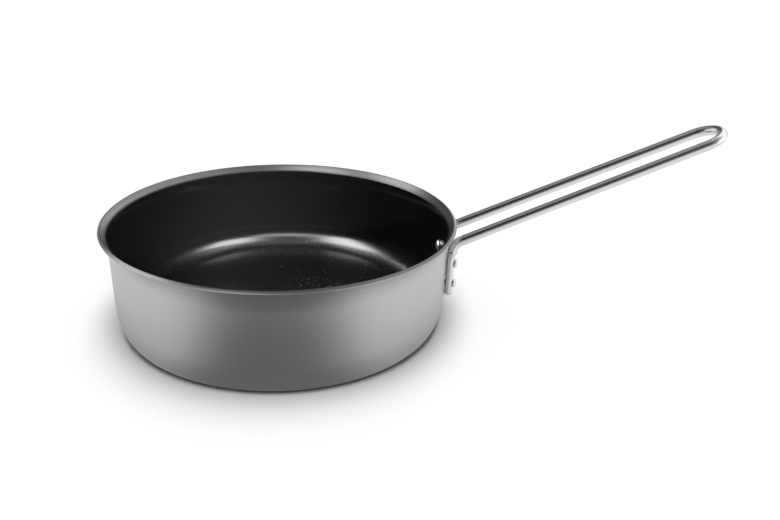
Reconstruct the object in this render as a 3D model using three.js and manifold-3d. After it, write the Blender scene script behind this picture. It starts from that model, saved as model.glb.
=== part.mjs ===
// Saute pan: a cast aluminium vessel with a flared lip, a non-stick lining, a perforated steel
// disc under the base, and a bent steel rod handle that four rivets hold to the wall.
// Millimetres, +Z up, handle along +X, origin in the middle of the underside.

import * as THREE from 'three';
import { mergeVertices } from 'three/addons/utils/BufferGeometryUtils.js';
import Module from 'manifold-3d';

const wasm = await Module();
wasm.setup();

// Vessel
const RIM_RADIUS = 125;
const RIM_HEIGHT = 75.8;
const LIP_OVERHANG = 6.2;
const WALL_DRAFT_DEG = 1;
const WALL_THICKNESS = 2.7;
const LIP_TURN_DEG = 38;
const CORNER_REACH = 9;
const CORNER_HEIGHT = 22;
const FLOOR_THICKNESS = 8.5;
const FLOOR_CORNER_REACH = 23;
const FLOOR_CORNER_HEIGHT = 17;

// Non-stick lining
const LINING_THICKNESS = 0.4;
const LINING_GAP = 0.1;
const LINING_EDGE_DEG = 26.5;

// Induction disc, let into the underside
const DISC_RADIUS = 88;
const DISC_THICKNESS = 0.9;
const PERFORATION_RADIUS = 3;
const PERFORATION_RING_PITCH = 22;
const PERFORATION_RINGS = 3;
const PERFORATIONS_PER_RING_STEP = 8;

// Handle, one bent rod
const ROD_RADIUS = 3.5;
const HANDLE_RISE_DEG = 24.3;
const HANDLE_REACH = 184;
const ROOT_HEIGHT = 63.4;
const ROOT_SPACING = 33.3;
const TIP_SPACING = 29.2;
const BEND_RADIUS = 9;
const LEG_BOTTOM = 24.8;
const LEG_CHAMFER = 0.6;
const PRESSED_THICKNESS = 5.5;
const PRESSED_WIDTH = 8.2;
const PRESS_RUN_OUT = 5;

// Rivets
const RIVET_LOW = 33.4;
const RIVET_PITCH = 15.4;
const SHANK_RADIUS = 2;
const HEAD_RADIUS = 4.2;
const HEAD_HEIGHT = 1.8;
const TAIL_RADIUS = 3.3;
const TAIL_HEIGHT = 2;

// Clearances
const SEAT_GAP = 0.3;
const HOLE_CLEARANCE = 0.25;

// Facets
const VESSEL_SIDES = 64;
const ARC_STEPS = 5;
const ROD_SIDES = 16;
const LOOP_STEPS = 16;
const RIVET_SIDES = 16;
const HOLE_SIDES = 20;
const PERFORATION_SIDES = 10;

const draft = THREE.MathUtils.degToRad(WALL_DRAFT_DEG);
const lipTurn = THREE.MathUtils.degToRad(LIP_TURN_DEG);
const liningEdge = THREE.MathUtils.degToRad(LINING_EDGE_DEG);
const rise = THREE.MathUtils.degToRad(HANDLE_RISE_DEG);

const aluminium = { color: 0x9d9e9f, roughness: 0.42, metalness: 1 };
const coating = { color: 0x0b0b0c, roughness: 0.38, metalness: 0 };
const discSteel = { color: 0x8d8d8b, roughness: 0.35, metalness: 1 };
const polishedSteel = { color: 0xc9cacb, roughness: 0.14, metalness: 1 };

// The outer face of the wall leans out by the draft, from the top of the corner upwards.
const wallFootRadius = RIM_RADIUS - LIP_OVERHANG;
function wallRadiusAt(z) {
  return wallFootRadius + (z - CORNER_HEIGHT) * Math.tan(draft);
}

// The lip's middle line is an arc, tangent to the wall, that ends inside the rounded rim edge.
function lipArc() {
  const half = WALL_THICKNESS / 2;
  const endR = RIM_RADIUS - half;
  const endZ = RIM_HEIGHT - half;
  const wallR = wallRadiusAt(endZ) - half / Math.cos(draft);
  const spread = Math.cos(draft) - Math.cos(lipTurn);
  const climb = (Math.sin(lipTurn) - Math.sin(draft)) * Math.tan(draft);
  const radius = (endR - wallR) / (spread - climb);
  const centreR = endR + radius * Math.cos(lipTurn);
  const centreZ = endZ - radius * Math.sin(lipTurn);
  return { radius, centreR, centreZ, endR, endZ };
}

function steps(from, to, count) {
  return Array.from({ length: count + 1 }, (_, i) => from + ((to - from) * i) / count);
}

// Points of the lip at a distance off its middle line: positive is the inner, upper face.
function lipFace(offset, from, to) {
  const { radius, centreR, centreZ } = lipArc();
  const r = radius + offset;
  return steps(from, to, ARC_STEPS).map(
    (a) => new THREE.Vector2(centreR - r * Math.cos(a), centreZ + r * Math.sin(a)),
  );
}

// The rounded rim edge, from the lip's under face over to its upper face.
function rimEdge() {
  const { endR, endZ } = lipArc();
  const start = -lipTurn;
  return steps(start, start + Math.PI, ARC_STEPS)
    .slice(1, -1)
    .map((a) => new THREE.Vector2(
      endR + (WALL_THICKNESS / 2) * Math.cos(a),
      endZ + (WALL_THICKNESS / 2) * Math.sin(a),
    ));
}

// A quarter ellipse that turns the wall into a level face, from the wall downwards.
function cornerArc(wallR, levelZ, reach, height) {
  return steps(0, Math.PI / 2, ARC_STEPS).map(
    (a) => new THREE.Vector2(
      wallR - reach * (1 - Math.cos(a)),
      levelZ + height * (1 - Math.sin(a)),
    ),
  );
}

// The vessel's inner face moved inwards by an offset, from the lip down to the axis.
function innerFace(offset, lipFrom) {
  const depth = WALL_THICKNESS + offset;
  const floorZ = FLOOR_THICKNESS + offset;
  const wallR = wallRadiusAt(FLOOR_THICKNESS + FLOOR_CORNER_HEIGHT) - depth / Math.cos(draft);
  const reach = FLOOR_CORNER_REACH - offset;
  const height = FLOOR_CORNER_HEIGHT - offset;
  return [
    ...lipFace(WALL_THICKNESS / 2 + offset, lipFrom, draft),
    ...cornerArc(wallR, floorZ, reach, height),
    new THREE.Vector2(0, floorZ),
  ];
}

// A lathe turned so that its axis is Z. Profiles run from the low end of the axis to the high end.
function revolve(profile, sides) {
  return new THREE.LatheGeometry(profile, sides).rotateX(Math.PI / 2);
}

function toSolid(geometry) {
  const bare = geometry.clone();
  bare.deleteAttribute('normal');
  bare.deleteAttribute('uv');
  const merged = mergeVertices(bare);
  const index = merged.index.array;
  const triVerts = [];
  for (let i = 0; i < index.length; i += 3) {
    const [a, b, c] = index.slice(i, i + 3);
    if (a !== b && b !== c && c !== a) triVerts.push(a, b, c);
  }
  return new wasm.Manifold(new wasm.Mesh({
    numProp: 3,
    vertProperties: new Float32Array(merged.attributes.position.array),
    triVerts: new Uint32Array(triVerts),
  }));
}

function toGeometry(solid) {
  const mesh = solid.getMesh();
  const geometry = new THREE.BufferGeometry();
  geometry.setAttribute('position', new THREE.BufferAttribute(mesh.vertProperties, 3));
  geometry.setIndex(new THREE.BufferAttribute(mesh.triVerts, 1));
  geometry.computeVertexNormals();
  return geometry;
}

function drill(geometry, cutters) {
  const cut = cutters.reduce((solid, cutter) => solid.subtract(toSolid(cutter)), toSolid(geometry));
  return toGeometry(cut);
}

function mesh(name, geometry, look) {
  const part = new THREE.Mesh(geometry, new THREE.MeshStandardMaterial(look));
  part.name = name;
  return part;
}

// The legs lie on the wall at these angles either side of +X.
const legStandOff = SEAT_GAP + ROD_RADIUS;
const legRadius = wallRadiusAt(ROOT_HEIGHT) + legStandOff / Math.cos(draft);
const legAngle = Math.asin(ROOT_SPACING / 2 / legRadius);

// Each rivet's frame: X runs straight out of the wall, with its origin on the wall's outer face.
const rivetSites = [-1, 1].flatMap((side) => [0, 1].map((row) => {
  const z = RIVET_LOW + row * RIVET_PITCH;
  const r = wallRadiusAt(z);
  const azimuth = side * legAngle;
  return {
    name: `rivet_${row === 0 ? 'lower' : 'upper'}_${side < 0 ? 'right' : 'left'}`,
    position: new THREE.Vector3(r * Math.cos(azimuth), r * Math.sin(azimuth), z),
    rotation: new THREE.Euler(0, draft, azimuth, 'ZYX'),
  };
}));

function rivetHole(site) {
  const reach = WALL_THICKNESS + PRESSED_THICKNESS + LINING_THICKNESS + TAIL_HEIGHT;
  const matrix = new THREE.Matrix4().makeRotationFromEuler(site.rotation).setPosition(site.position);
  return new THREE.CylinderGeometry(
    SHANK_RADIUS + HOLE_CLEARANCE, SHANK_RADIUS + HOLE_CLEARANCE, 2 * reach, HOLE_SIDES,
  ).rotateZ(-Math.PI / 2).applyMatrix4(matrix);
}

function panBody() {
  const half = WALL_THICKNESS / 2;
  const recessR = DISC_RADIUS + SEAT_GAP;
  const recessZ = DISC_THICKNESS + SEAT_GAP;
  const profile = [
    new THREE.Vector2(0, recessZ),
    new THREE.Vector2(recessR, recessZ),
    new THREE.Vector2(recessR, 0),
    ...cornerArc(wallFootRadius, 0, CORNER_REACH, CORNER_HEIGHT).reverse(),
    ...lipFace(-half, draft, lipTurn),
    ...rimEdge(),
    ...innerFace(0, lipTurn),
  ];
  return drill(revolve(profile, VESSEL_SIDES), rivetSites.map(rivetHole));
}

function nonstickLining() {
  const back = innerFace(LINING_GAP, liningEdge).reverse();
  const front = innerFace(LINING_GAP + LINING_THICKNESS, liningEdge);
  return drill(revolve([...back, ...front], VESSEL_SIDES), rivetSites.map(rivetHole));
}

function circle(radius, sides, x = 0, y = 0) {
  return Array.from({ length: sides }, (_, i) => {
    const a = (2 * Math.PI * i) / sides;
    return new THREE.Vector2(x + radius * Math.cos(a), y + radius * Math.sin(a));
  });
}

function inductionDisc() {
  const outline = new THREE.Shape(circle(DISC_RADIUS, VESSEL_SIDES));
  for (let ring = 1; ring <= PERFORATION_RINGS; ring += 1) {
    const count = ring * PERFORATIONS_PER_RING_STEP;
    const centres = circle(ring * PERFORATION_RING_PITCH, count);
    for (const { x, y } of centres) {
      outline.holes.push(new THREE.Path(circle(PERFORATION_RADIUS, PERFORATION_SIDES, x, y)));
    }
  }
  return new THREE.ExtrudeGeometry(outline, { depth: DISC_THICKNESS, bevelEnabled: false });
}

// One half of the rod's route, from the foot of a leg, round the bend and out to the loop.
// Each station has a place, a direction, the way its pressed faces look and how far it is pressed.
function halfRoute(side) {
  const azimuth = side * legAngle;
  const outward = new THREE.Vector3(Math.cos(azimuth), Math.sin(azimuth), 0);
  const up = outward.clone().multiplyScalar(Math.sin(draft));
  up.z = Math.cos(draft);
  const face = outward.clone().multiplyScalar(Math.cos(draft));
  face.z = -Math.sin(draft);

  const root = outward.clone().multiplyScalar(legRadius).setZ(ROOT_HEIGHT);
  const slope = new THREE.Vector3(Math.cos(rise), 0, Math.sin(rise));
  const tip = new THREE.Vector3(root.x, side * TIP_SPACING / 2, root.z).addScaledVector(slope, HANDLE_REACH);
  const along = tip.clone().sub(root).normalize();

  const turn = up.angleTo(along);
  const tangent = BEND_RADIUS * Math.tan(turn / 2);
  const inward = along.clone().addScaledVector(up, -along.dot(up)).normalize();
  const bendStart = root.clone().addScaledVector(up, -tangent);
  const bendCentre = bendStart.clone().addScaledVector(inward, BEND_RADIUS);

  const onLeg = (z, press, shrink = 0) => ({
    place: root.clone().addScaledVector(up, (z - ROOT_HEIGHT) / Math.cos(draft)),
    direction: up,
    face: inward.clone().lerp(face, press).normalize(),
    press,
    shrink,
  });
  const pressTop = RIVET_LOW + RIVET_PITCH + Math.max(HEAD_RADIUS, TAIL_RADIUS);
  const leg = [
    onLeg(LEG_BOTTOM, 1, LEG_CHAMFER),
    onLeg(LEG_BOTTOM + LEG_CHAMFER, 1),
    onLeg(pressTop, 1),
    onLeg(pressTop + PRESS_RUN_OUT / 2, 0.5),
  ];
  const bend = steps(0, turn, ARC_STEPS).map((a) => ({
    place: bendCentre.clone()
      .addScaledVector(inward, -BEND_RADIUS * Math.cos(a))
      .addScaledVector(up, BEND_RADIUS * Math.sin(a)),
    direction: up.clone().multiplyScalar(Math.cos(a)).addScaledVector(inward, Math.sin(a)),
    face: inward.clone().multiplyScalar(Math.cos(a)).addScaledVector(up, -Math.sin(a)),
    press: 0,
    shrink: 0,
  }));
  return { stations: [...leg, ...bend], tip, slope };
}

function handleRoute() {
  const near = halfRoute(-1);
  const far = halfRoute(1);
  const middle = near.tip.clone().add(far.tip).multiplyScalar(0.5);
  const across = new THREE.Vector3(0, 1, 0);
  const down = new THREE.Vector3(Math.sin(rise), 0, -Math.cos(rise));
  const loop = steps(-Math.PI / 2, Math.PI / 2, LOOP_STEPS).map((a) => ({
    place: middle.clone()
      .addScaledVector(near.slope, (TIP_SPACING / 2) * Math.cos(a))
      .addScaledVector(across, (TIP_SPACING / 2) * Math.sin(a)),
    direction: near.slope.clone().multiplyScalar(-Math.sin(a)).addScaledVector(across, Math.cos(a)),
    face: down,
    press: 0,
    shrink: 0,
  }));
  const back = far.stations.reverse().map((station) => ({
    ...station,
    direction: station.direction.clone().negate(),
  }));
  return [...near.stations, ...loop, ...back];
}

// The rod's section: round, or pressed to a flat-sided oblong whose back stays level with the rod's.
function rodSection({ place, direction, face, press, shrink }) {
  const thick = THREE.MathUtils.lerp(ROD_RADIUS, PRESSED_THICKNESS / 2, press);
  const halfThick = thick - shrink;
  const halfWide = THREE.MathUtils.lerp(ROD_RADIUS, PRESSED_WIDTH / 2, press) - shrink;
  const corner = halfThick / Math.cos(Math.PI / ROD_SIDES);
  const sideways = direction.clone().cross(face);
  const middle = place.clone().addScaledVector(face, thick - ROD_RADIUS);
  return Array.from({ length: ROD_SIDES }, (_, i) => {
    const a = (2 * Math.PI * (i + 0.5)) / ROD_SIDES;
    const wide = corner * Math.sin(a) + Math.sign(Math.sin(a)) * (halfWide - halfThick);
    return middle.clone().addScaledVector(face, corner * Math.cos(a)).addScaledVector(sideways, wide);
  });
}

// Skins a row of rings, each with as many points, and closes both ends.
function loft(rings) {
  const sides = rings[0].length;
  const points = rings.flat();
  const index = [];
  for (let ring = 0; ring + 1 < rings.length; ring += 1) {
    for (let i = 0; i < sides; i += 1) {
      const a = ring * sides + i;
      const b = ring * sides + ((i + 1) % sides);
      index.push(a, b, b + sides, a, b + sides, a + sides);
    }
  }
  const last = (rings.length - 1) * sides;
  for (let i = 1; i + 1 < sides; i += 1) {
    index.push(0, i + 1, i);
    index.push(last, last + i, last + i + 1);
  }
  const geometry = new THREE.BufferGeometry().setFromPoints(points);
  geometry.setIndex(index);
  geometry.computeVertexNormals();
  return geometry;
}

function handleLoop() {
  return drill(loft(handleRoute().map(rodSection)), rivetSites.map(rivetHole));
}

// A rivet along X: a low dome inside the pan, a shank through wall and leg, an upset tail outside.
function rivet() {
  const headSeat = -(WALL_THICKNESS + LINING_GAP + LINING_THICKNESS + SEAT_GAP);
  const tailSeat = 2 * SEAT_GAP + PRESSED_THICKNESS;
  const quarter = steps(0, Math.PI / 2, ARC_STEPS);
  const profile = [
    ...quarter.map((a) => new THREE.Vector2(
      HEAD_RADIUS * Math.sin(a),
      headSeat - HEAD_HEIGHT * Math.cos(a),
    )),
    new THREE.Vector2(SHANK_RADIUS, headSeat),
    new THREE.Vector2(SHANK_RADIUS, tailSeat),
    ...quarter.map((a) => new THREE.Vector2(
      TAIL_RADIUS * Math.cos(a),
      tailSeat + TAIL_HEIGHT * Math.sin(a),
    )),
  ];
  return new THREE.LatheGeometry(profile, RIVET_SIDES).rotateZ(-Math.PI / 2);
}

const vessel = new THREE.Group();
vessel.add(mesh('pan_body', panBody(), aluminium));
vessel.add(mesh('nonstick_lining', nonstickLining(), coating));
vessel.add(mesh('induction_disc', inductionDisc(), discSteel));

const handle = new THREE.Group();
handle.add(mesh('handle_loop', handleLoop(), polishedSteel));
for (const site of rivetSites) {
  const fastener = mesh(site.name, rivet(), polishedSteel);
  fastener.position.copy(site.position);
  fastener.rotation.copy(site.rotation);
  handle.add(fastener);
}

const sautePan = new THREE.Group();
sautePan.add(vessel, handle);

export default sautePan;
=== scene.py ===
# %% [markdown]
# # A saute pan with a rod handle
#
# The pan is a cast aluminium vessel with a flared lip, a black non-stick lining, a steel disc under
# its base and one bent steel rod for a handle, held by four rivets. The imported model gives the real
# sizes and places. This lesson dresses it: each solid gets a finer mesh and a finish made of nodes.

# %% The frame
import math

import bmesh
import bpy
from mathutils import Matrix, Vector


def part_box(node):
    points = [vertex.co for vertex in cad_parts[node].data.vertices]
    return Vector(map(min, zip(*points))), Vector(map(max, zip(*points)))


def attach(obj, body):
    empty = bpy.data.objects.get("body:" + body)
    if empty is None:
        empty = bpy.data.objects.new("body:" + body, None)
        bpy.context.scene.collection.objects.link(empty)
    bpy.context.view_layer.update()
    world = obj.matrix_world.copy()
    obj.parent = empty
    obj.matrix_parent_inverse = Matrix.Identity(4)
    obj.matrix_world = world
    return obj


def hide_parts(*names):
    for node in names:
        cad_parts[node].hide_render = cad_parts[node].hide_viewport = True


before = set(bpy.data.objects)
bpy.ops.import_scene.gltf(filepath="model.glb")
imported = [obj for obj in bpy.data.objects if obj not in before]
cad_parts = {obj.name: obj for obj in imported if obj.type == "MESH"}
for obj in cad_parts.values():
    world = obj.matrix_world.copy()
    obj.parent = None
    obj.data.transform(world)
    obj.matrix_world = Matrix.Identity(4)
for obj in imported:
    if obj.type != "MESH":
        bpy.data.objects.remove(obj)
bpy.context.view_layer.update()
scene = bpy.context.scene
MM = 0.001
print("frame:", ", ".join(sorted(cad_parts)))

# %% [markdown]
# ## Camera
#
# The photograph looks down on the pan from about 27 cm up, a little to the right of its middle.
# The camera could be aimed with a Track To constraint, but a photograph is rarely level, so its three
# axes are worked out here from a turn, a tilt and a small roll, and written into its matrix.

# %% The photograph's camera
IMAGE_WIDTH = 780
FOCAL_PIXELS = 780
CAMERA_PLACE = Vector((64.2, -524.4, 274.4)) * MM
CAMERA_TURN = math.radians(1.55)
CAMERA_TILT = math.radians(23.84)
CAMERA_ROLL = math.radians(2.02)

ahead = Vector((
    math.sin(CAMERA_TURN) * math.cos(CAMERA_TILT),
    math.cos(CAMERA_TURN) * math.cos(CAMERA_TILT),
    -math.sin(CAMERA_TILT),
))
level = Vector((math.cos(CAMERA_TURN), -math.sin(CAMERA_TURN), 0))
upward = level.cross(ahead)
camera_x = level * math.cos(CAMERA_ROLL) + upward * math.sin(CAMERA_ROLL)
camera_y = upward * math.cos(CAMERA_ROLL) - level * math.sin(CAMERA_ROLL)

lens = bpy.data.cameras.new("camera")
lens.sensor_width = 36
lens.lens = FOCAL_PIXELS / IMAGE_WIDTH * lens.sensor_width
lens.clip_start = 0.01
camera = bpy.data.objects.new("camera", lens)
camera.matrix_world = Matrix((
    (camera_x.x, camera_y.x, -ahead.x, CAMERA_PLACE.x),
    (camera_x.y, camera_y.y, -ahead.y, CAMERA_PLACE.y),
    (camera_x.z, camera_y.z, -ahead.z, CAMERA_PLACE.z),
    (0, 0, 0, 1),
))
scene.collection.objects.link(camera)
scene.camera = camera
print("camera: lens", round(lens.lens, 2), "mm")

# %% [markdown]
# ## A bench for nodes
#
# Shaders and Geometry Nodes are both trees of nodes, so one small pair of classes serves both. A Wire
# wraps an output socket and turns sums in Python into Math nodes. A Bench adds any other node from its
# type, its settings and what goes into its sockets. Written so, a pattern reads like a formula.

# %% Wires and the bench
class Wire:
    """An output socket. Sums on it add Math nodes to its tree."""

    def __init__(self, bench, socket):
        self.bench = bench
        self.socket = socket

    def math(self, operation, *values):
        sockets = dict(enumerate((self, *values)))
        return self.bench.add("ShaderNodeMath", {"operation": operation}, sockets)["Value"]

    def __add__(self, other):
        return self.math("ADD", other)

    def __radd__(self, other):
        return self + other

    def __sub__(self, other):
        return self.math("SUBTRACT", other)

    def __rsub__(self, other):
        return self.math("MULTIPLY_ADD", -1, other)

    def __mul__(self, other):
        return self.math("MULTIPLY", other)

    def __rmul__(self, other):
        return self * other

    def __truediv__(self, other):
        return self.math("DIVIDE", other)

    def __pow__(self, other):
        return self.math("POWER", other)

    def fade(self, start, end, low=0.0, high=1.0):
        """Goes smoothly from low to high while this value goes from start to end."""
        values = {"Value": self, "From Min": start, "From Max": end, "To Min": low, "To Max": high}
        return self.bench.add("ShaderNodeMapRange", {"interpolation_type": "SMOOTHSTEP"}, values)["Result"]


class Made:
    """A node on the bench. Its outputs are Wires, by name or place."""

    def __init__(self, bench, node):
        self.bench = bench
        self.node = node

    def __getitem__(self, key):
        return Wire(self.bench, self.node.outputs[key])


class Bench:
    """Adds nodes to a tree."""

    def __init__(self, tree):
        self.tree = tree

    def add(self, kind, settings=None, sockets=None):
        node = self.tree.nodes.new(kind)
        for name, value in (settings or {}).items():
            setattr(node, name, value)
        for key, value in (sockets or {}).items():
            if isinstance(value, Wire):
                self.tree.links.new(value.socket, node.inputs[key])
            else:
                node.inputs[key].default_value = value
        return Made(self, node)

    def vector(self, operation, *values):
        sockets = dict(enumerate(values))
        return self.add("ShaderNodeVectorMath", {"operation": operation}, sockets)

    def scaled(self, vector, amount):
        sockets = {"Vector": vector, "Scale": amount}
        return self.add("ShaderNodeVectorMath", {"operation": "SCALE"}, sockets)["Vector"]


def grey(value, warmth=0.0):
    return (value * (1 + warmth), value, value * (1 - warmth), 1)


print("bench ready")

# %% [markdown]
# ## Finishes
#
# Every finish of the pan is one Principled shader. What varies over it is worked out from Object
# coordinates, which stay with the piece from any side, and feeds only colour, roughness and bump.
# Fine grain is real size: a blasted surface has pits of a third of a millimetre, not of a centimetre.

# %% A new finish
def new_finish(name, **constants):
    material = bpy.data.materials.new(name)
    material.use_nodes = True
    bench = Bench(material.node_tree)
    shader = material.node_tree.nodes["Principled BSDF"]
    for socket, value in constants.items():
        shader.inputs[socket.replace("_", " ")].default_value = value
    return material, bench, shader


def feed(bench, shader, **wires):
    for socket, wire in wires.items():
        bench.tree.links.new(wire.socket, shader.inputs[socket.replace("_", " ")])


def place_on_object(bench):
    return bench.add("ShaderNodeTexCoord")["Object"]


def noise(bench, place, scale, detail=2.0, roughness=0.5):
    sockets = {"Vector": place, "Scale": scale, "Detail": detail, "Roughness": roughness}
    return bench.add("ShaderNodeTexNoise", None, sockets)["Fac"]


def mix_colour(bench, factor, low, high):
    return bench.add("ShaderNodeMix", {"data_type": "RGBA"}, {0: factor, 6: low, 7: high})[2]


def bump(bench, height):
    sockets = {"Height": height, "Strength": 1.0, "Distance": 1.0}
    return bench.add("ShaderNodeBump", None, sockets)["Normal"]


def parts_of(bench, vector):
    return bench.add("ShaderNodeSeparateXYZ", None, {"Vector": vector})


def distance(across, deep):
    return (across ** 2 + deep ** 2).math("SQRT")


def radius_from_axis(bench, place):
    parts = parts_of(bench, place)
    return distance(parts["X"], parts["Y"]), parts["Z"]


print("finishes: helpers ready")

# %% [markdown]
# ### Satin aluminium
#
# The vessel is blasted to an even satin grey. A clean metal shader would look like chrome spray, so
# fine noise gives the pits, a slow noise makes the sheen drift, and the lip, which hands and lids rub, is
# smoother. The turned base shows rings from the lathe. On the inside of the lip the sprayed coating fades
# out over a millimetre or two, more on one side than on the other.

# %% Satin aluminium
RIM_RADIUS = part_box("pan_body")[1].y
RIM_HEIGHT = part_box("pan_body")[1].z
SATIN_GREYS = grey(0.54, 0.004), grey(0.60, 0.004)
SATIN_ROUGHNESS = 0.44
PIT_SCALE, PIT_DEPTH = 2600, 0.02 * MM
DRIFT_SCALE = 14
RUB_HEIGHTS, RUB_POLISH = (RIM_HEIGHT - 9 * MM, RIM_HEIGHT - 5 * MM), 0.14
LATHE_FEED, LATHE_DEPTH = 0.9 * MM, 0.012 * MM
LATHE_HEIGHTS = (1.4 * MM, 0.2 * MM)   # the rings fade in over these heights, downwards
SPRAY_BLACK = grey(0.02)
SPRAY_TOP = (RIM_HEIGHT - 3.2 * MM, RIM_HEIGHT - 4.9 * MM)
SPRAY_FOOT = (RIM_HEIGHT - 6.0 * MM, RIM_HEIGHT - 5.4 * MM)
SPRAY_INSIDE = (RIM_RADIUS - 3.0 * MM, RIM_RADIUS - 3.8 * MM)
SPRAY_RAGGED = 1.2 * MM
SPRAY_COVER = (0.0, 50 * MM, 0.85, 0.25)   # from the middle to the right: two places, two strengths


def satin_aluminium():
    material, bench, shader = new_finish("satin_aluminium", Metallic=1.0)
    place = place_on_object(bench)
    radius, height = radius_from_axis(bench, place)
    pits = noise(bench, place, PIT_SCALE, 3)
    drift = noise(bench, place, DRIFT_SCALE, 2)
    bare = mix_colour(bench, (drift + pits) * 0.2 + 0.3, *SATIN_GREYS)
    ragged = height + (drift - 0.5) * SPRAY_RAGGED
    spray = ragged.fade(*SPRAY_TOP) * height.fade(*SPRAY_FOOT) * radius.fade(*SPRAY_INSIDE)
    cover = parts_of(bench, place)["X"].fade(*SPRAY_COVER)
    colour = mix_colour(bench, spray * cover, bare, SPRAY_BLACK)
    rubbed = height.fade(*RUB_HEIGHTS)
    roughness = SATIN_ROUGHNESS + (drift + pits) * 0.05 - rubbed * RUB_POLISH
    rings = (radius * (math.tau / LATHE_FEED)).math("SINE") * height.fade(*LATHE_HEIGHTS)
    feed(bench, shader, Base_Color=colour, Roughness=roughness,
         Normal=bump(bench, pits * PIT_DEPTH + rings * LATHE_DEPTH))
    return material


ALUMINIUM = satin_aluminium()
print("finish:", ALUMINIUM.name)

# %% [markdown]
# ### Non-stick coating
#
# The lining is a sprayed black film. It is smooth enough to show soft lights as streaks, with a fine
# orange-peel from the spray, and pale mineral flecks on the floor of the pan, denser and paler in one
# patch.

# %% Non-stick coating
FLECK_PATCH_PLACE = (26 * MM, 27 * MM)   # where the flecks lie thickest
FLECK_PATCH_REACH = 36 * MM
COATING_BLACK, FLECK_GREY = grey(0.003), grey(0.45)
COATING_ROUGHNESS = 0.21
FLECK_SCALE, FLECK_DEPTH = 850, 0.02 * MM
FLECK_EDGE = (0.34, 0.16)         # how far from the middle of its cell a fleck ends
FLECK_DRAW = (0.93, 0.97)         # a cell gets a fleck where its random draw is as high as this
FLECK_TOP = (14 * MM, 10 * MM)    # the flecks fade in over these heights, downwards
PEEL_SCALE, PEEL_DEPTH = 420, 0.006 * MM
CLOUD_SCALE = 30


def nonstick_coating():
    material, bench, shader = new_finish("nonstick_coating", IOR=1.8)
    place = place_on_object(bench)
    cells = bench.add("ShaderNodeTexVoronoi", None, {"Vector": place, "Scale": FLECK_SCALE})
    draw = bench.add("ShaderNodeSeparateColor", None, {"Color": cells["Color"]})["Red"]
    parts = parts_of(bench, place)
    # The flecks are denser and much paler in one patch of the floor.
    off_patch = distance(parts["X"] - FLECK_PATCH_PLACE[0], (parts["Y"] - FLECK_PATCH_PLACE[1]) * 2)
    fleck_patch = off_patch.fade(FLECK_PATCH_REACH, FLECK_PATCH_REACH / 4)
    chosen = (draw + fleck_patch * 0.14).fade(*FLECK_DRAW)
    fleck = chosen * cells["Distance"].fade(*FLECK_EDGE) * parts["Z"].fade(*FLECK_TOP)
    peel = noise(bench, place, PEEL_SCALE, 2)
    cloud = noise(bench, place, CLOUD_SCALE, 3)
    paleness = fleck * (0.02 + cloud * 0.07 + fleck_patch * 0.7)
    colour = mix_colour(bench, paleness, COATING_BLACK, FLECK_GREY)
    roughness = COATING_ROUGHNESS + cloud * 0.05 + fleck * 0.15
    feed(bench, shader, Base_Color=colour, Roughness=roughness,
         Normal=bump(bench, peel * PEEL_DEPTH + fleck * FLECK_DEPTH))
    return material


COATING = nonstick_coating()
print("finish:", COATING.name)

# %% [markdown]
# ### Handle steel, rivet steel and disc steel
#
# The rod is drawn and then polished along its length, so its fine lines run with it: the noise is
# stretched along the handle's slope. The rivets are barrel polished, with no direction. The disc is
# faced on a lathe, so its grain goes round.

# %% Steels
HANDLE_RISE = math.radians(24.3)
HANDLE_GREYS = grey(0.62, 0.006), grey(0.72, 0.006)
LINE_SCALE, LINE_DEPTH = (25, 2600, 2600), 0.004 * MM   # long along the rod, fine across it
RIVET_GREYS = grey(0.60, 0.006), grey(0.74, 0.006)
TUMBLED_SCALE, TUMBLED_DEPTH = 1900, 0.008 * MM
DISC_GREYS = grey(0.46, 0.01), grey(0.60, 0.01)
GRAIN_SCALE, GRAIN_DEPTH = 2600, 0.02 * MM
FACING_FEED, FACING_DEPTH = 0.5 * MM, 0.006 * MM


def handle_steel():
    material, bench, shader = new_finish("handle_steel", Metallic=1.0)
    place = place_on_object(bench)
    sockets = {"Vector": place, "Rotation": (0, HANDLE_RISE, 0)}
    turned = bench.add("ShaderNodeMapping", None, sockets)["Vector"]
    drawn = bench.add("ShaderNodeMapping", None, {"Vector": turned, "Scale": LINE_SCALE})["Vector"]
    lines = noise(bench, drawn, 1.0, 3)
    haze = noise(bench, place, 60, 2)
    colour = mix_colour(bench, lines, *HANDLE_GREYS)
    roughness = 0.20 + lines * 0.08 + haze * 0.06
    feed(bench, shader, Base_Color=colour, Roughness=roughness,
         Normal=bump(bench, lines * LINE_DEPTH))
    return material


def rivet_steel():
    material, bench, shader = new_finish("rivet_steel", Metallic=1.0)
    place = place_on_object(bench)
    tumbled = noise(bench, place, TUMBLED_SCALE, 3)
    smudge = noise(bench, place, 240, 2)
    colour = mix_colour(bench, smudge, *RIVET_GREYS)
    feed(bench, shader, Base_Color=colour, Roughness=0.30 + smudge * 0.08 + tumbled * 0.04,
         Normal=bump(bench, tumbled * TUMBLED_DEPTH))
    return material


def disc_steel():
    material, bench, shader = new_finish("disc_steel", Metallic=1.0)
    place = place_on_object(bench)
    radius = radius_from_axis(bench, place)[0]
    along_radius = bench.add("ShaderNodeCombineXYZ", None, {"X": radius, "Y": 0.0, "Z": 0.0})["Vector"]
    grain = noise(bench, along_radius, GRAIN_SCALE, 4, 0.7)
    feed_marks = (radius * (math.tau / FACING_FEED)).math("SINE")
    haze = noise(bench, place, 25, 3)
    colour = mix_colour(bench, grain, *DISC_GREYS)
    feed(bench, shader, Base_Color=colour, Roughness=0.24 + grain * 0.12 + haze * 0.08,
         Normal=bump(bench, grain * GRAIN_DEPTH + feed_marks * FACING_DEPTH))
    return material


HANDLE_STEEL = handle_steel()
RIVET_STEEL = rivet_steel()
DISC_STEEL = disc_steel()
print("finishes:", HANDLE_STEEL.name, RIVET_STEEL.name, DISC_STEEL.name)

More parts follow.
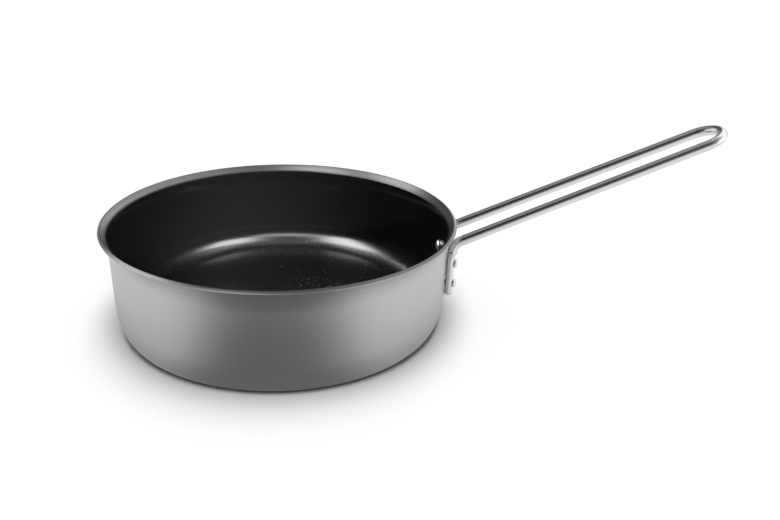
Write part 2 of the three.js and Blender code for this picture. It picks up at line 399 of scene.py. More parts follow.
# %% [markdown]
# ## Turned pieces
#
# The vessel, its lining, the disc and the rivets are all round, so one Geometry Nodes tree makes them:
# a profile is swept round a tiny circle at the axis. A Screw modifier would do too, but the tree keeps
# the count of sides and the material as named inputs, and the same tree serves every profile.

# %% The turning tree
HUB = 0.1 * MM   # the circle at the axis that a profile is swept round
WELD = 1e-6


def new_tree(name, inputs):
    """A bench on an empty Geometry Nodes tree with these named inputs, and the node that holds them."""
    tree = bpy.data.node_groups.new(name, "GeometryNodeTree")
    tree.is_modifier = True
    tree.interface.new_socket(name="Geometry", in_out="OUTPUT", socket_type="NodeSocketGeometry")
    for label, kind in {"Geometry": "Geometry", **inputs}.items():
        tree.interface.new_socket(name=label, in_out="INPUT", socket_type="NodeSocket" + kind)
    bench = Bench(tree)
    return bench, bench.add("NodeGroupInput")


def end_tree(bench, geometry, material):
    """Every tree ends in real faces with a material on them."""
    real = bench.add("GeometryNodeRealizeInstances", None, {"Geometry": geometry})["Geometry"]
    smooth = bench.add("GeometryNodeSetShadeSmooth", None, {"Geometry": real})["Geometry"]
    sockets = {"Geometry": smooth, "Material": material}
    done = bench.add("GeometryNodeSetMaterial", None, sockets)["Geometry"]
    bench.add("NodeGroupOutput", None, {"Geometry": done})
    return bench.tree


def turning_tree():
    bench, given = new_tree("turned_on_axis", {"Sides": "Int", "Material": "Material"})
    profile = bench.add("GeometryNodeMeshToCurve", None, {"Mesh": given["Geometry"]})["Curve"]
    sockets = {"Resolution": given["Sides"], "Radius": HUB}
    circle = bench.add("GeometryNodeCurvePrimitiveCircle", {"mode": "RADIUS"}, sockets)["Curve"]
    sockets = {"Curve": circle, "Profile Curve": profile}
    swept = bench.add("GeometryNodeCurveToMesh", None, sockets)["Mesh"]
    sockets = {"Geometry": swept, "Distance": WELD}
    closed = bench.add("GeometryNodeMergeByDistance", None, sockets)["Geometry"]
    return end_tree(bench, closed, given["Material"])


TURNING = turning_tree()
print("tree:", TURNING.name)

# %% From a tree to a plain mesh
SHARP_ANGLE = math.radians(32)


def new_object(name, mesh):
    thing = bpy.data.objects.new(name, mesh)
    scene.collection.objects.link(thing)
    return thing


def bake(thing):
    """Turns an object with modifiers into a plain mesh."""
    graph = bpy.context.evaluated_depsgraph_get()
    mesh = bpy.data.meshes.new_from_object(thing.evaluated_get(graph))
    thing.modifiers.clear()
    thing.data = mesh
    mesh.set_sharp_from_angle(angle=SHARP_ANGLE)
    return thing


def grow(thing, tree, **values):
    """Puts a tree on an object, sets its named inputs and makes the result a plain mesh."""
    modifier = thing.modifiers.new(tree.name, "NODES")
    modifier.node_group = tree
    for item in tree.interface.items_tree:
        if item.in_out == "INPUT" and item.name.replace(" ", "_") in values:
            modifier[item.identifier] = values[item.name.replace(" ", "_")]
    return bake(thing)


def chain(points):
    """The edges that join points in a row."""
    return [(i, i + 1) for i in range(len(points) - 1)]


def turn(name, profile, sides, material):
    """Turns a profile of (radius, height) points about Z. It runs from the top of the axis down."""
    mesh = bpy.data.meshes.new(name)
    points = [(radius - HUB, -height, 0) for radius, height in profile]
    mesh.from_pydata(points, chain(points), [])
    return grow(new_object(name, mesh), TURNING, Sides=sides, Material=material)


def measure(thing):
    """Prints a piece's faces, its volume and how many of its edges are open."""
    solid = bmesh.new()
    solid.from_mesh(thing.data)
    volume = solid.calc_volume(signed=True) / MM**3
    open_edges = sum(not edge.is_manifold for edge in solid.edges)
    print(f"{thing.name}: {len(solid.faces)} faces, {volume:.0f} mm3, {open_edges} open edges")
    solid.free()


print("turning: helpers ready")

# %% [markdown]
# ## Profiles of the vessel
#
# The wall leans out by one degree, as a casting must to leave its mould. Above, an arc turns it into
# the flared lip, and below, a quarter ellipse turns it into the base. The inside follows the outside
# at the wall's thickness, down to a thick floor with a wide, soft corner.

# %% Sizes of the vessel
DRAFT = math.radians(1)
LIP_OVERHANG = 6.2 * MM
WALL_THICKNESS = 2.7 * MM
LIP_TURN = math.radians(38)
CORNER_REACH, CORNER_HEIGHT = 9 * MM, 22 * MM
FLOOR_THICKNESS = 8.5 * MM
FLOOR_CORNER_REACH, FLOOR_CORNER_HEIGHT = 23 * MM, 17 * MM
SEAT_GAP = 0.3 * MM
RECESS_EASE = 0.3 * MM
RIM_EASE, RIM_END = 0.35 * MM, 0.8 * MM
DISC_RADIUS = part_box("induction_disc")[1].y
DISC_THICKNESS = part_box("induction_disc")[1].z
WALL_FOOT_RADIUS = RIM_RADIUS - LIP_OVERHANG
VESSEL_SIDES = 256


def wall_radius(height):
    return WALL_FOOT_RADIUS + (height - CORNER_HEIGHT) * math.tan(DRAFT)


def spread(start, end, count):
    return [start + (end - start) * i / count for i in range(count + 1)]


def arc(centre, reach, rise, angles):
    """Points of an ellipse about a centre, at these angles from level."""
    return [(centre[0] + reach * math.cos(a), centre[1] + rise * math.sin(a)) for a in angles]


LIP_END = (RIM_RADIUS - WALL_THICKNESS / 2, RIM_HEIGHT - WALL_THICKNESS / 2)
lip_wall = wall_radius(LIP_END[1]) - WALL_THICKNESS / 2 / math.cos(DRAFT)
lip_spread = math.cos(DRAFT) - math.cos(LIP_TURN)
lip_climb = (math.sin(LIP_TURN) - math.sin(DRAFT)) * math.tan(DRAFT)
LIP_RADIUS = (LIP_END[0] - lip_wall) / (lip_spread - lip_climb)
LIP_CENTRE = (
    LIP_END[0] + LIP_RADIUS * math.cos(LIP_TURN),
    LIP_END[1] - LIP_RADIUS * math.sin(LIP_TURN),
)
print(f"lip arc: radius {LIP_RADIUS / MM:.2f} mm")


# %% Parts of the profiles
def lip_face(offset, start, end, count=14):
    """The lip at a distance off its middle line: positive is the inner, upper face."""
    angles = [math.pi - a for a in spread(start, end, count)]
    return arc(LIP_CENTRE, LIP_RADIUS + offset, LIP_RADIUS + offset, angles)


def steps_between(low, high, count):
    """Points between two points, without them."""
    return [
        (low[0] + (high[0] - low[0]) * i / count, low[1] + (high[1] - low[1]) * i / count)
        for i in range(1, count)
    ]


def inner_face(offset, lip_from):
    """The inside, moved inwards by an offset, from the lip down to the axis."""
    wall = wall_radius(FLOOR_THICKNESS + FLOOR_CORNER_HEIGHT) - (WALL_THICKNESS + offset) / math.cos(DRAFT)
    floor = FLOOR_THICKNESS + offset
    reach, rise = FLOOR_CORNER_REACH - offset, FLOOR_CORNER_HEIGHT - offset
    lip = lip_face(WALL_THICKNESS / 2 + offset, lip_from, DRAFT)
    corner = arc((wall - reach, floor + rise), reach, rise, spread(0, -math.pi / 2, count=26))
    upright = steps_between(lip[-1], corner[0], count=18)
    level = steps_between(corner[-1], (0, floor), count=30)
    return [*lip, *upright, *corner, *level, (0, floor)]


def outer_face():
    """The outside, from the lip's under face down to the middle of the recess in the base."""
    lip = lip_face(-WALL_THICKNESS / 2, LIP_TURN, DRAFT)
    corner_centre = (WALL_FOOT_RADIUS - CORNER_REACH, CORNER_HEIGHT)
    corner = arc(corner_centre, CORNER_REACH, CORNER_HEIGHT, spread(0, -math.pi / 2, count=26))
    recess, roof = DISC_RADIUS + SEAT_GAP, DISC_THICKNESS + SEAT_GAP
    ease = RECESS_EASE
    shoulder = arc((recess + ease, ease), ease, ease, spread(-math.pi / 2, -math.pi, count=5))
    upright = steps_between(lip[-1], corner[0], count=16)
    base = steps_between(corner[-1], shoulder[0], count=8)
    return [*lip, *upright, *corner, *base, *shoulder, (recess, roof), (0, roof)]


def rim_edge():
    """The end of the lip, cut square and eased, from the upper face over to the under face."""
    along = Vector((math.sin(LIP_TURN), math.cos(LIP_TURN))) * (RIM_END - RIM_EASE)
    across = Vector((-math.cos(LIP_TURN), math.sin(LIP_TURN))) * (WALL_THICKNESS / 2 - RIM_EASE)
    middle = Vector(LIP_END) + along
    upper, end, under = math.pi - LIP_TURN, math.pi / 2 - LIP_TURN, -LIP_TURN
    return [
        *arc(middle + across, RIM_EASE, RIM_EASE, spread(upper, end, count=5)),
        *arc(middle - across, RIM_EASE, RIM_EASE, spread(end, under, count=5)),
    ]


print("points round the rim's edge:", len(rim_edge()))

# %% The vessel
vessel_profile = [*reversed(inner_face(0, LIP_TURN)), *rim_edge(), *outer_face()]
vessel = turn("vessel", vessel_profile, VESSEL_SIDES, ALUMINIUM)
measure(vessel)

# %% [markdown]
# ## The lining
#
# The real film is sprayed on and ends in a clean line part of the way up the lip. It is made here as a
# thin closed shell with a rounded edge, a hair off the metal, so that the export keeps it as a piece.

# %% The lining
LINING_GAP, LINING_THICKNESS = 0.1 * MM, 0.4 * MM
LINING_EDGE = math.radians(26.5)

lining_front = inner_face(LINING_GAP + LINING_THICKNESS, LINING_EDGE)
lining_back = inner_face(LINING_GAP, LINING_EDGE)
lining = turn("lining", [*reversed(lining_front), *lining_back], VESSEL_SIDES, COATING)
measure(lining)

# %% [markdown]
# ## The rivets
#
# Four rivets go through the wall and the two legs: low domes inside the pan, upset tails outside. One
# rivet is turned, and a tree sets a copy at each of four points, aimed by an attribute that says which
# way is straight out of the wall. Four hand-placed copies would drift apart when a size changes.

# %% Where the rivets sit
ROD_RADIUS = 3.5 * MM
ROOT_HEIGHT, ROOT_SPACING = 63.4 * MM, 33.3 * MM
RIVET_LOW, RIVET_PITCH = 33.4 * MM, 15.4 * MM
PRESSED_THICKNESS = 5.5 * MM
SHANK_RADIUS = 2 * MM
HEAD_RADIUS, HEAD_HEIGHT = 4.2 * MM, 1.8 * MM
TAIL_RADIUS, TAIL_HEIGHT = 3.3 * MM, 2 * MM
RIVET_SIDES = 48

LEG_RADIUS = wall_radius(ROOT_HEIGHT) + (SEAT_GAP + ROD_RADIUS) / math.cos(DRAFT)
LEG_ANGLE = math.asin(ROOT_SPACING / 2 / LEG_RADIUS)


def outward(side, lean=0.0):
    """Level and straight out of the wall at a leg, or leaning down with the wall's own face."""
    azimuth = side * LEG_ANGLE
    return Vector((
        math.cos(azimuth) * math.cos(lean), math.sin(azimuth) * math.cos(lean), -math.sin(lean),
    ))


rivet_sites = [
    outward(side) * wall_radius(height) + Vector((0, 0, height))
    for side in (-1, 1) for height in (RIVET_LOW, RIVET_LOW + RIVET_PITCH)
]
rivet_ways = [outward(side, DRAFT) for side in (-1, 1) for _ in range(2)]
print("rivet sites:", len(rivet_sites))


# %% One rivet, and the tree that sets four
def rivet_profile():
    head_seat = -(WALL_THICKNESS + LINING_GAP + LINING_THICKNESS + SEAT_GAP)
    tail_seat = 2 * SEAT_GAP + PRESSED_THICKNESS
    tail = arc((0, tail_seat), TAIL_RADIUS, TAIL_HEIGHT, spread(math.pi / 2, 0, count=12))
    head = arc((0, head_seat), HEAD_RADIUS, HEAD_HEIGHT, spread(0, -math.pi / 2, count=12))
    return [*tail, (SHANK_RADIUS, tail_seat), (SHANK_RADIUS, head_seat), *head]


def setting_tree():
    inputs = {"Fastener": "Object", "Material": "Material"}
    bench, given = new_tree("set_on_sites", inputs)
    part = bench.add("GeometryNodeObjectInfo", None, {"Object": given["Fastener"]})["Geometry"]
    way = bench.add("GeometryNodeInputNamedAttribute", {"data_type": "FLOAT_VECTOR"}, {"Name": "way"})
    aim = bench.add("FunctionNodeAlignRotationToVector", {"axis": "Z"}, {"Vector": way["Attribute"]})
    points = bench.add("GeometryNodeMeshToPoints", None, {"Mesh": given["Geometry"]})["Points"]
    sockets = {"Points": points, "Instance": part, "Rotation": aim["Rotation"]}
    copies = bench.add("GeometryNodeInstanceOnPoints", None, sockets)["Instances"]
    return end_tree(bench, copies, given["Material"])


def points_object(name, places, **vectors):
    """An object of loose points, with vector attributes for a tree to read."""
    mesh = bpy.data.meshes.new(name)
    mesh.from_pydata(places, [], [])
    for label, values in vectors.items():
        attribute = mesh.attributes.new(label, "FLOAT_VECTOR", "POINT")
        attribute.data.foreach_set("vector", [x for value in values for x in value])
    return new_object(name, mesh)


SETTING = setting_tree()
one_rivet = turn("one_rivet", rivet_profile(), RIVET_SIDES, RIVET_STEEL)
rivets = points_object("rivets", rivet_sites, way=rivet_ways)
grow(rivets, SETTING, Fastener=one_rivet, Material=RIVET_STEEL)
bpy.data.objects.remove(one_rivet)
measure(rivets)

# %% [markdown]
# ## The handle
#
# One steel rod is bent to a long loop. Its two ends turn down the wall, where they are pressed to flat
# legs and drilled. The tree sweeps a round section along the rod's middle line, then presses it: each
# point knows its distance from that line, so the pressing is a sum on that offset. An attribute on the
# line says how far the rod is pressed there, and another which way the flat looks.

# %% The line of the rod
HANDLE_REACH = 184 * MM
TIP_SPACING = 29.2 * MM
BEND_RADIUS = 9 * MM
LEG_BOTTOM = 24.8 * MM
LEG_ROUNDING = 0.9 * MM
PRESSED_WIDTH = 8.2 * MM
ROD_SIDES = 48
PRESS_RUN_OUT = 5 * MM
LINE_EASE = 0.2 * MM   # so close to the middle of the flat, a point has no way to move sideways

slope = Vector((math.cos(HANDLE_RISE), 0, math.sin(HANDLE_RISE)))


def smooth(share):
    return share * share * (3 - 2 * share)


def half_line(side):
    """Stations from the foot of a leg, round the bend and out to the loop: place, face, press, shrink."""
    level_out = outward(side)
    up = level_out * math.sin(DRAFT) + Vector((0, 0, math.cos(DRAFT)))
    face = outward(side, DRAFT)
    root = level_out * LEG_RADIUS + Vector((0, 0, ROOT_HEIGHT))
    tip = Vector((root.x, side * TIP_SPACING / 2, root.z)) + slope * HANDLE_REACH
    along = (tip - root).normalized()
    bend = up.angle(along)
    inward = (along - up * along.dot(up)).normalized()
    bend_start = root - up * BEND_RADIUS * math.tan(bend / 2)
    centre = bend_start + inward * BEND_RADIUS

    def on_leg(height):
        return root + up * ((height - ROOT_HEIGHT) / math.cos(DRAFT))

    press_top = RIVET_LOW + RIVET_PITCH + max(HEAD_RADIUS, TAIL_RADIUS)
    stations = []
    for a in spread(0, math.pi / 2, count=6):
        height = LEG_BOTTOM + LEG_ROUNDING * (1 - math.cos(a))
        stations.append((on_leg(height), face, 1, LEG_ROUNDING * (1 - math.sin(a))))
    for height in spread(LEG_BOTTOM + LEG_ROUNDING, press_top, count=16)[1:]:
        stations.append((on_leg(height), face, 1, 0))
    for share in spread(0, 1, count=8)[1:]:
        press = 1 - smooth(share)
        way = inward.lerp(face, press).normalized()
        stations.append((on_leg(press_top + PRESS_RUN_OUT * share), way, press, 0))
    for a in spread(0, bend, count=18):
        place = centre + (up * math.sin(a) - inward * math.cos(a)) * BEND_RADIUS
        stations.append((place, inward * math.cos(a) - up * math.sin(a), 0, 0))
    bend_end = stations[-1]
    for share in spread(0, 1, count=40)[1:]:
        stations.append((bend_end[0].lerp(tip, share), bend_end[1], 0, 0))
    return stations, tip


near_side, near_tip = half_line(-1)
far_side, far_tip = half_line(1)
loop_centre = (near_tip + far_tip) / 2
under = Vector((math.sin(HANDLE_RISE), 0, -math.cos(HANDLE_RISE)))
loop = [
    (loop_centre + (slope * math.cos(a) + Vector((0, math.sin(a), 0))) * (TIP_SPACING / 2), under, 0, 0)
    for a in spread(-math.pi / 2, math.pi / 2, count=48)[1:-1]
]
rod_line = [*near_side, *loop, *reversed(far_side)]
length = sum((b[0] - a[0]).length for a, b in zip(rod_line, rod_line[1:]))
print(f"rod: {len(rod_line)} stations, {length / MM:.0f} mm long")


# %% The tree that sweeps and presses the rod
def rod_tree():
    inputs = {
        "Rod Radius": "Float", "Pressed Thickness": "Float", "Pressed Width": "Float",
        "Sides": "Int", "Material": "Material",
    }
    bench, given = new_tree("pressed_rod", inputs)
    line = bench.add("GeometryNodeMeshToCurve", None, {"Mesh": given["Geometry"]})["Curve"]
    sockets = {"Resolution": given["Sides"], "Radius": given["Rod Radius"]}
    section = bench.add("GeometryNodeCurvePrimitiveCircle", {"mode": "RADIUS"}, sockets)["Curve"]
    sockets = {"Curve": line, "Profile Curve": section, "Fill Caps": True}
    swept = bench.add("GeometryNodeCurveToMesh", None, sockets)["Mesh"]

    def named(label, kind="FLOAT"):
        made = bench.add("GeometryNodeInputNamedAttribute", {"data_type": kind}, {"Name": label})
        return made["Attribute"]

    middle, face = named("middle", "FLOAT_VECTOR"), named("face", "FLOAT_VECTOR")
    press, shrink = named("press"), named("shrink")
    place = bench.add("GeometryNodeInputPosition")["Position"]
    offset = bench.vector("SUBTRACT", place, middle)["Vector"]
    out = bench.vector("DOT_PRODUCT", offset, face)["Value"]
    side_part = bench.vector("SUBTRACT", offset, bench.scaled(face, out))["Vector"]
    side = bench.vector("LENGTH", side_part)["Value"]
    side_way = bench.vector("NORMALIZE", side_part)["Vector"]

    radius = given["Rod Radius"]
    half_thick = radius + press * (given["Pressed Thickness"] * 0.5 - radius)
    half_wide = radius + press * (given["Pressed Width"] * 0.5 - radius)
    scale = (half_thick - shrink) / radius
    new_out = out * scale + half_thick - radius
    new_side = side * scale + half_wide - half_thick
    off_line = side.fade(0, LINE_EASE)
    moved_side = bench.scaled(side_way, new_side * off_line)
    moved = bench.vector("ADD", bench.scaled(face, new_out), moved_side)["Vector"]
    pressed_place = bench.vector("ADD", middle, moved)["Vector"]
    pressed = bench.add("GeometryNodeSetPosition", None, {"Geometry": swept, "Position": pressed_place})
    return end_tree(bench, pressed["Geometry"], given["Material"])


ROD = rod_tree()
print("tree:", ROD.name)


# %% The handle
def rod_object(name, stations):
    """The rod's middle line as an edge chain, with what the tree needs to know at each station."""
    mesh = bpy.data.meshes.new(name)
    places = [station[0] for station in stations]
    mesh.from_pydata(places, chain(places), [])
    for label, index in {"middle": 0, "face": 1}.items():
        attribute = mesh.attributes.new(label, "FLOAT_VECTOR", "POINT")
        attribute.data.foreach_set("vector", [x for station in stations for x in station[index]])
    for label, index in {"press": 2, "shrink": 3}.items():
        attribute = mesh.attributes.new(label, "FLOAT", "POINT")
        attribute.data.foreach_set("value", [station[index] for station in stations])
    return new_object(name, mesh)


handle = rod_object("handle", rod_line)
grow(handle, ROD, Rod_Radius=ROD_RADIUS, Pressed_Thickness=PRESSED_THICKNESS,
     Pressed_Width=PRESSED_WIDTH, Sides=ROD_SIDES, Material=HANDLE_STEEL)
measure(handle)

# %% [markdown]
# ## The disc under the base
#
# Aluminium alone does not work on an induction hob, so such pans have a perforated steel disc pressed
# into the base, and the softer metal comes up through the holes. A tree lays rings of points and sets a
# copy at each: once with a cutter, which drills the disc, and once with the metal that fills the holes.

# %% Rings of holes
PERFORATION_RADIUS = 3 * MM
RING_PITCH = 22 * MM
RING_COUNT = 3
HOLES_PER_RING = 8


def ring_tree():
    inputs = {"Ring Pitch": "Float", "Copied": "Object", "Material": "Material"}
    bench, given = new_tree("rings_of_copies", inputs)
    part = bench.add("GeometryNodeObjectInfo", None, {"Object": given["Copied"]})["Geometry"]
    joined = bench.add("GeometryNodeJoinGeometry")
    for ring in range(1, RING_COUNT + 1):
        sockets = {"Vertices": ring * HOLES_PER_RING, "Radius": given["Ring Pitch"] * ring}
        circle = bench.add("GeometryNodeMeshCircle", {"fill_type": "NONE"}, sockets)["Mesh"]
        bench.tree.links.new(circle.socket, joined.node.inputs["Geometry"])
    sockets = {"Points": joined["Geometry"], "Instance": part}
    copies = bench.add("GeometryNodeInstanceOnPoints", None, sockets)["Instances"]
    return end_tree(bench, copies, given["Material"])


def in_rings(name, profile, sides, material):
    """Copies of one small turned piece, in the rings of holes."""
    single = turn(name + "_single", profile, sides, material)
    copies = new_object(name, bpy.data.meshes.new(name))
    grow(copies, RINGS, Ring_Pitch=RING_PITCH, Copied=single, Material=material)
    bpy.data.objects.remove(single)
    return copies


def bit(radius, top, bottom):
    """The profile of a plain round cutter."""
    return [(0, top), (radius, top), (radius, bottom), (0, bottom)]


def drill(thing, cutters):
    """Takes the cutters out of a piece."""
    cut = thing.modifiers.new("drill", "BOOLEAN")
    cut.object = cutters
    cut.operation = "DIFFERENCE"
    cut.solver = "EXACT"
    bake(thing)


RINGS = ring_tree()
print("tree:", RINGS.name)

# %% The disc and the metal in its holes
DISC_CHAMFER = 0.15 * MM
DISC_SIDES, HOLE_SIDES = 192, 28
CUT_TOP, CUT_BOTTOM = 2 * MM, -1 * MM
PLUG_GAP = 0.04 * MM
PLUG_ROUNDING = 0.2 * MM
PLUG_FOOT = 0.25 * MM     # where the rounding starts
PLUG_FACE = 0.02 * MM     # the middle of the plug, a hair above the floor

disc_foot = DISC_RADIUS - DISC_CHAMFER
disc_profile = [
    (0, DISC_THICKNESS),
    *steps_between((0, DISC_THICKNESS), (DISC_RADIUS, DISC_THICKNESS), count=6),
    (DISC_RADIUS, DISC_THICKNESS), (DISC_RADIUS, DISC_CHAMFER), (disc_foot, 0),
    *steps_between((disc_foot, 0), (0, 0), count=6),
    (0, 0),
]
plug_radius = PERFORATION_RADIUS - PLUG_GAP
plug_roof = DISC_THICKNESS + SEAT_GAP
plug_centre = (plug_radius - PLUG_ROUNDING, PLUG_FOOT)
plug_profile = [
    (0, plug_roof), (plug_radius, plug_roof), (plug_radius, PLUG_FOOT),
    *arc(plug_centre, PLUG_ROUNDING, PLUG_ROUNDING, spread(0, -math.pi / 2, count=4)),
    (0, PLUG_FACE),
]

disc = turn("disc", disc_profile, DISC_SIDES, DISC_STEEL)
cutter_profile = bit(PERFORATION_RADIUS, CUT_TOP, CUT_BOTTOM)
cutters = in_rings("cutters", cutter_profile, HOLE_SIDES, DISC_STEEL)
drill(disc, cutters)
bpy.data.objects.remove(cutters)
plugs = in_rings("plugs", plug_profile, HOLE_SIDES, ALUMINIUM)
measure(disc)
measure(plugs)

# %% [markdown]
# ## Drilling for the rivets
#
# The shanks go through real holes in the wall, the lining and the legs, so the meshes stay true where
# nothing shows. The same four sites place the cutters.

# %% The rivet holes
HOLE_CLEARANCE = 0.15 * MM
BIT_REACH = 12 * MM
BIT_SIDES = 32

bit_profile = bit(SHANK_RADIUS + HOLE_CLEARANCE, BIT_REACH, -BIT_REACH)
one_hole = turn("one_hole", bit_profile, BIT_SIDES, ALUMINIUM)
holes = points_object("holes", rivet_sites, way=rivet_ways)
grow(holes, SETTING, Fastener=one_hole, Material=ALUMINIUM)
for drilled in (vessel, lining, handle):
    drill(drilled, holes)
    measure(drilled)
for tool in (one_hole, holes):
    bpy.data.objects.remove(tool)

# %% [markdown]
# ## Riding on the frame
#
# Nothing moves on a riveted pan, so every piece rides on the one body. Each piece names the solids that
# it stands for and the finish that the record gives them.

# %% Riding
RIVET_NODES = [f"rivet_{row}_{side}" for row in ("lower", "upper") for side in ("right", "left")]
dressed = [
    (vessel, "satin_aluminium", ["pan_body"]),
    (lining, "nonstick_coating", ["nonstick_lining"]),
    (disc, "disc_steel", ["induction_disc"]),
    (plugs, "satin_aluminium", []),
    (handle, "handle_steel", ["handle_loop"]),
    (rivets, "rivet_steel", RIVET_NODES),
]
for piece, slot, nodes in dressed:
    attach(piece, "root")
    if nodes:
        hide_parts(*nodes)
print("pieces:", ", ".join(piece.name for piece, _, _ in dressed))

# %% [markdown]
# ## Floor, backdrop and card
#
# A white sweep of the kind that product photographs use: a wide matt disc with a trace of gloss, and a
# white backdrop that only the camera sees. A round card lies on the floor, which only mirrored rays see:
# white at the sides and black in front. Metal shows what lies before it, so the card shades the wall.

# %% Stage objects
def stage_object(name, make_shape, material, hidden_from):
    """A thing of the studio, not of the pan, that some kinds of ray don't see."""
    maker = bmesh.new()
    make_shape(maker)
    mesh = bpy.data.meshes.new(name)
    maker.to_mesh(mesh)
    maker.free()
    mesh.materials.append(material)
    thing = new_object(name, mesh)
    for ray in hidden_from:
        setattr(thing, "visible_" + ray, False)
    return thing


def bare_finish(name):
    """A material with no shader yet, and its bench."""
    material = bpy.data.materials.new(name)
    material.use_nodes = True
    material.node_tree.nodes.clear()
    return material, Bench(material.node_tree)


def end_finish(bench, shader):
    bench.add("ShaderNodeOutputMaterial", None, {"Surface": shader})


def mixed(bench, share, first, second):
    return bench.add("ShaderNodeMixShader", None, {"Fac": share, 1: first, 2: second})["Shader"]


def glow(material, bench, colour):
    """An emission that rays see where they meet it. It is not sampled as a lamp."""
    material.cycles.emission_sampling = "NONE"
    return bench.add("ShaderNodeEmission", None, {"Color": colour, "Strength": 1.0})["Emission"]


def round_sheet(radius, height, segments):
    def make(maker):
        bmesh.ops.create_circle(maker, cap_ends=True, radius=radius, segments=segments)
        bmesh.ops.translate(maker, verts=maker.verts, vec=(0, 0, height))
    return make


def hollow_ball(radius):
    def make(maker):
        bmesh.ops.create_uvsphere(maker, u_segments=64, v_segments=32, radius=radius)
    return make


ONLY_MIRRORED = ("camera", "diffuse", "shadow", "transmission", "volume_scatter")
ONLY_SEEN = ("diffuse", "glossy", "shadow", "transmission", "volume_scatter")
FLOOR_REACH = 14
FLOOR_DROP = 0.1 * MM   # so that the underside and the floor are not in one plane
FLOOR_TONES, FLOOR_GLOSS = (0.95, 0.97), 0.02
print("stage: helpers ready")


# %% Floor and backdrop
def floor_finish():
    material, bench = bare_finish("floor_white")
    cloud = noise(bench, place_on_object(bench), 3, 2)
    dull, bright = (
        bench.add("ShaderNodeBsdfDiffuse", None, {"Color": grey(tone)})["BSDF"] for tone in FLOOR_TONES
    )
    gloss = bench.add("ShaderNodeBsdfAnisotropic", None, {"Color": grey(1), "Roughness": 0.18})["BSDF"]
    end_finish(bench, mixed(bench, FLOOR_GLOSS, mixed(bench, cloud, dull, bright), gloss))
    return material


def backdrop_finish():
    material, bench = bare_finish("backdrop_white")
    end_finish(bench, glow(material, bench, grey(1)))
    return material


stage_object("floor", round_sheet(FLOOR_REACH, -FLOOR_DROP, 96), floor_finish(), ())
stage_object("backdrop", hollow_ball(FLOOR_REACH + 1), backdrop_finish(), ONLY_SEEN)
print("floor:", FLOOR_REACH, "m from the pan to its edge")


# %% Card
CARD_HEIGHT = 0.4 * MM
CARD_REACH, CARD_SOLID = 0.6, 0.3   # the card thins out between these
CARD_SWEEP = (0.11, 0.20)           # its tones change from the pan's foot out to here
WING_TONES, MIDDLE_TONES = (0.45, 1.02), (0.20, 0.08)
FRONT_EDGE = (0.70, 0.985)          # how far forward its dark middle starts, and where it is full
FRONT_SWING = 0.035                 # the dark middle lies this far to the right of straight ahead


def card_finish():
    material, bench = bare_finish("card")
    parts = parts_of(bench, place_on_object(bench))
    away = distance(parts["X"], parts["Y"]) + MM
    front = (parts["X"] * FRONT_SWING - parts["Y"]) / away
    wings = away.fade(*CARD_SWEEP, *WING_TONES)
    middle = away.fade(*CARD_SWEEP, *MIDDLE_TONES)
    tone = wings + (middle - wings) * front.fade(*FRONT_EDGE)
    clear = bench.add("ShaderNodeBsdfTransparent")["BSDF"]
    cover = away.fade(CARD_REACH, CARD_SOLID)
    end_finish(bench, mixed(bench, cover, clear, glow(material, bench, tone)))
    return material


stage_object("card", round_sheet(CARD_REACH, CARD_HEIGHT, 64), card_finish(), ONLY_MIRRORED)
print("card:", CARD_REACH, "m from the pan to its edge")

# %% [markdown]
# ## Light
#
# A dim dome and a row of wide suns light the floor and the coating. The row runs from front to back
# overhead, so the soft shadow reaches further to the front and back than to the sides, and only the
# vessel casts it. What shapes the metal is what it mirrors: a dim tent, and panels that are each linked
# to a few pieces, as flags in a studio keep a lamp off everything else. One more panel, which nothing
# mirrors, brings up a little grey in the coating.

# %% Dome, suns and colour
DOME_STRENGTH = 0.22
SUN_WIDTH = math.radians(30)
SUN_ROW = ((108, 0.27), (94, 0.34), (80, 0.26))   # degrees up from the back, and brightness on the floor

world = bpy.data.worlds.new("dome")
scene.world = world
world.use_nodes = True
background = world.node_tree.nodes["Background"]
background.inputs["Color"].default_value = grey(1)
background.inputs["Strength"].default_value = DOME_STRENGTH
world.cycles_visibility.glossy = False

shade_maker = bpy.data.collections.new("shade_maker")
shade_maker.objects.link(vessel)
for rise, brightness in SUN_ROW:
    light = bpy.data.lights.new(f"sun_{rise}", "SUN")
    light.angle = SUN_WIDTH
    light.energy = brightness * math.pi / math.sin(math.radians(rise))
    sun = new_object(light.name, light)
    sun.rotation_euler = (math.radians(rise - 90), 0, 0)
    sun.visible_glossy = False
    sun.light_linking.blocker_collection = shade_maker

scene.cycles.caustics_reflective = False
scene.view_settings.view_transform = "Standard"
print("suns:", len(SUN_ROW))

# %% Tent
TENT_RADIUS = 16
# Each: two places on the cloth, as parts of its radius, and the tone at each.
TENT_LOW = (0.0, 0.45, 0.44, 0.05)
TENT_ACROSS = (-0.4, 0.2, 0.25, 1.5)
TENT_RIGHT = (0.1, 0.8, 0.0, 0.32)


def tent_finish():
    material, bench = bare_finish("tent_cloth")
    way = bench.vector("NORMALIZE", place_on_object(bench))["Vector"]
    parts = parts_of(bench, way)
    low = parts["Z"].fade(*TENT_LOW) * parts["X"].fade(*TENT_ACROSS)
    cloth = low + parts["X"].fade(*TENT_RIGHT)
    end_finish(bench, glow(material, bench, cloth))
    return material


tent = stage_object("tent", hollow_ball(TENT_RADIUS), tent_finish(), ONLY_MIRRORED)
print("tent:", TENT_RADIUS, "m")


# %% Panels
PANEL_DISTANCE = 1.2
PANEL_AIM = Vector((0, 0, 0.04))


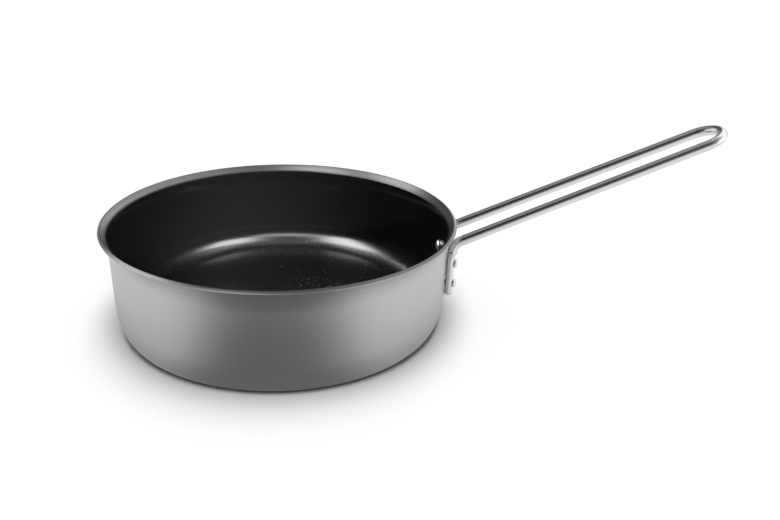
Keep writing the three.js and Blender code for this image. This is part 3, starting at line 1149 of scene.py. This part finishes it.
def lit_group(name, *pieces):
    group = bpy.data.collections.new(name)
    for piece in pieces:
        group.objects.link(piece)
    return group


def panel(name, way, size, brightness, group, seen_by="glossy", beam=180):
    """A panel that lights one group of pieces. The white floor has a brightness of 1."""
    light = bpy.data.lights.new(name, "AREA")
    light.shape = "RECTANGLE"
    light.size, light.size_y = size
    light.spread = math.radians(beam)
    light.energy = brightness * math.pi * size[0] * size[1]
    box = new_object(name, light)
    box.location = Vector(way).normalized() * PANEL_DISTANCE
    box.rotation_euler = (PANEL_AIM - box.location).to_track_quat("-Z", "Y").to_euler()
    for ray in ("camera", "diffuse", "glossy"):
        setattr(box, "visible_" + ray, ray == seen_by)
    box.light_linking.receiver_collection = group


tent.light_linking.receiver_collection = lit_group("bare_metal", vessel, handle, rivets, disc, plugs)
inside = lit_group("inside_of_pan", lining)
panel("softbox_right", (0.29, 0.12, 0.95), (0.50, 0.34), 10, inside)
panel("softbox_left", (-0.38, 0.10, 0.92), (0.80, 0.34), 11, inside)
panel("softbox_left_end", (-0.30, 0.58, 0.75), (0.20, 0.45), 7, inside)
panel("softbox_front", (0.00, -0.25, 0.97), (0.60, 0.30), 4, inside)
panel("haze", (0.42, -0.84, 0.35), (0.12, 0.12), 13, inside, "diffuse", 11)
lip = lit_group("lip_of_pan", vessel)
panel("lip_front_left", (-0.30, -0.59, 0.75), (0.80, 0.50), 1.3, lip)
panel("lip_left", (-0.80, 0.08, 0.59), (0.80, 0.60), 1.1, lip)
steel = lit_group("steel", handle, rivets)
panel("steel_top", (0.0, 0.25, 0.97), (1.40, 1.40), 0.33, steel)
panel("steel_right", (0.90, -0.10, 0.35), (0.90, 0.90), 0.9, steel)
panel("steel_tip", (0.62, 0.42, 0.66), (0.90, 0.90), 1.0, steel)
panel("steel_left", (-0.88, 0.39, 0.25), (2.60, 1.00), 0.9, steel)
panel("rivet_left", (-0.80, 0.10, 0.50), (0.80, 0.60), 14, lit_group("rivet_heads", rivets))
print("lights ready")
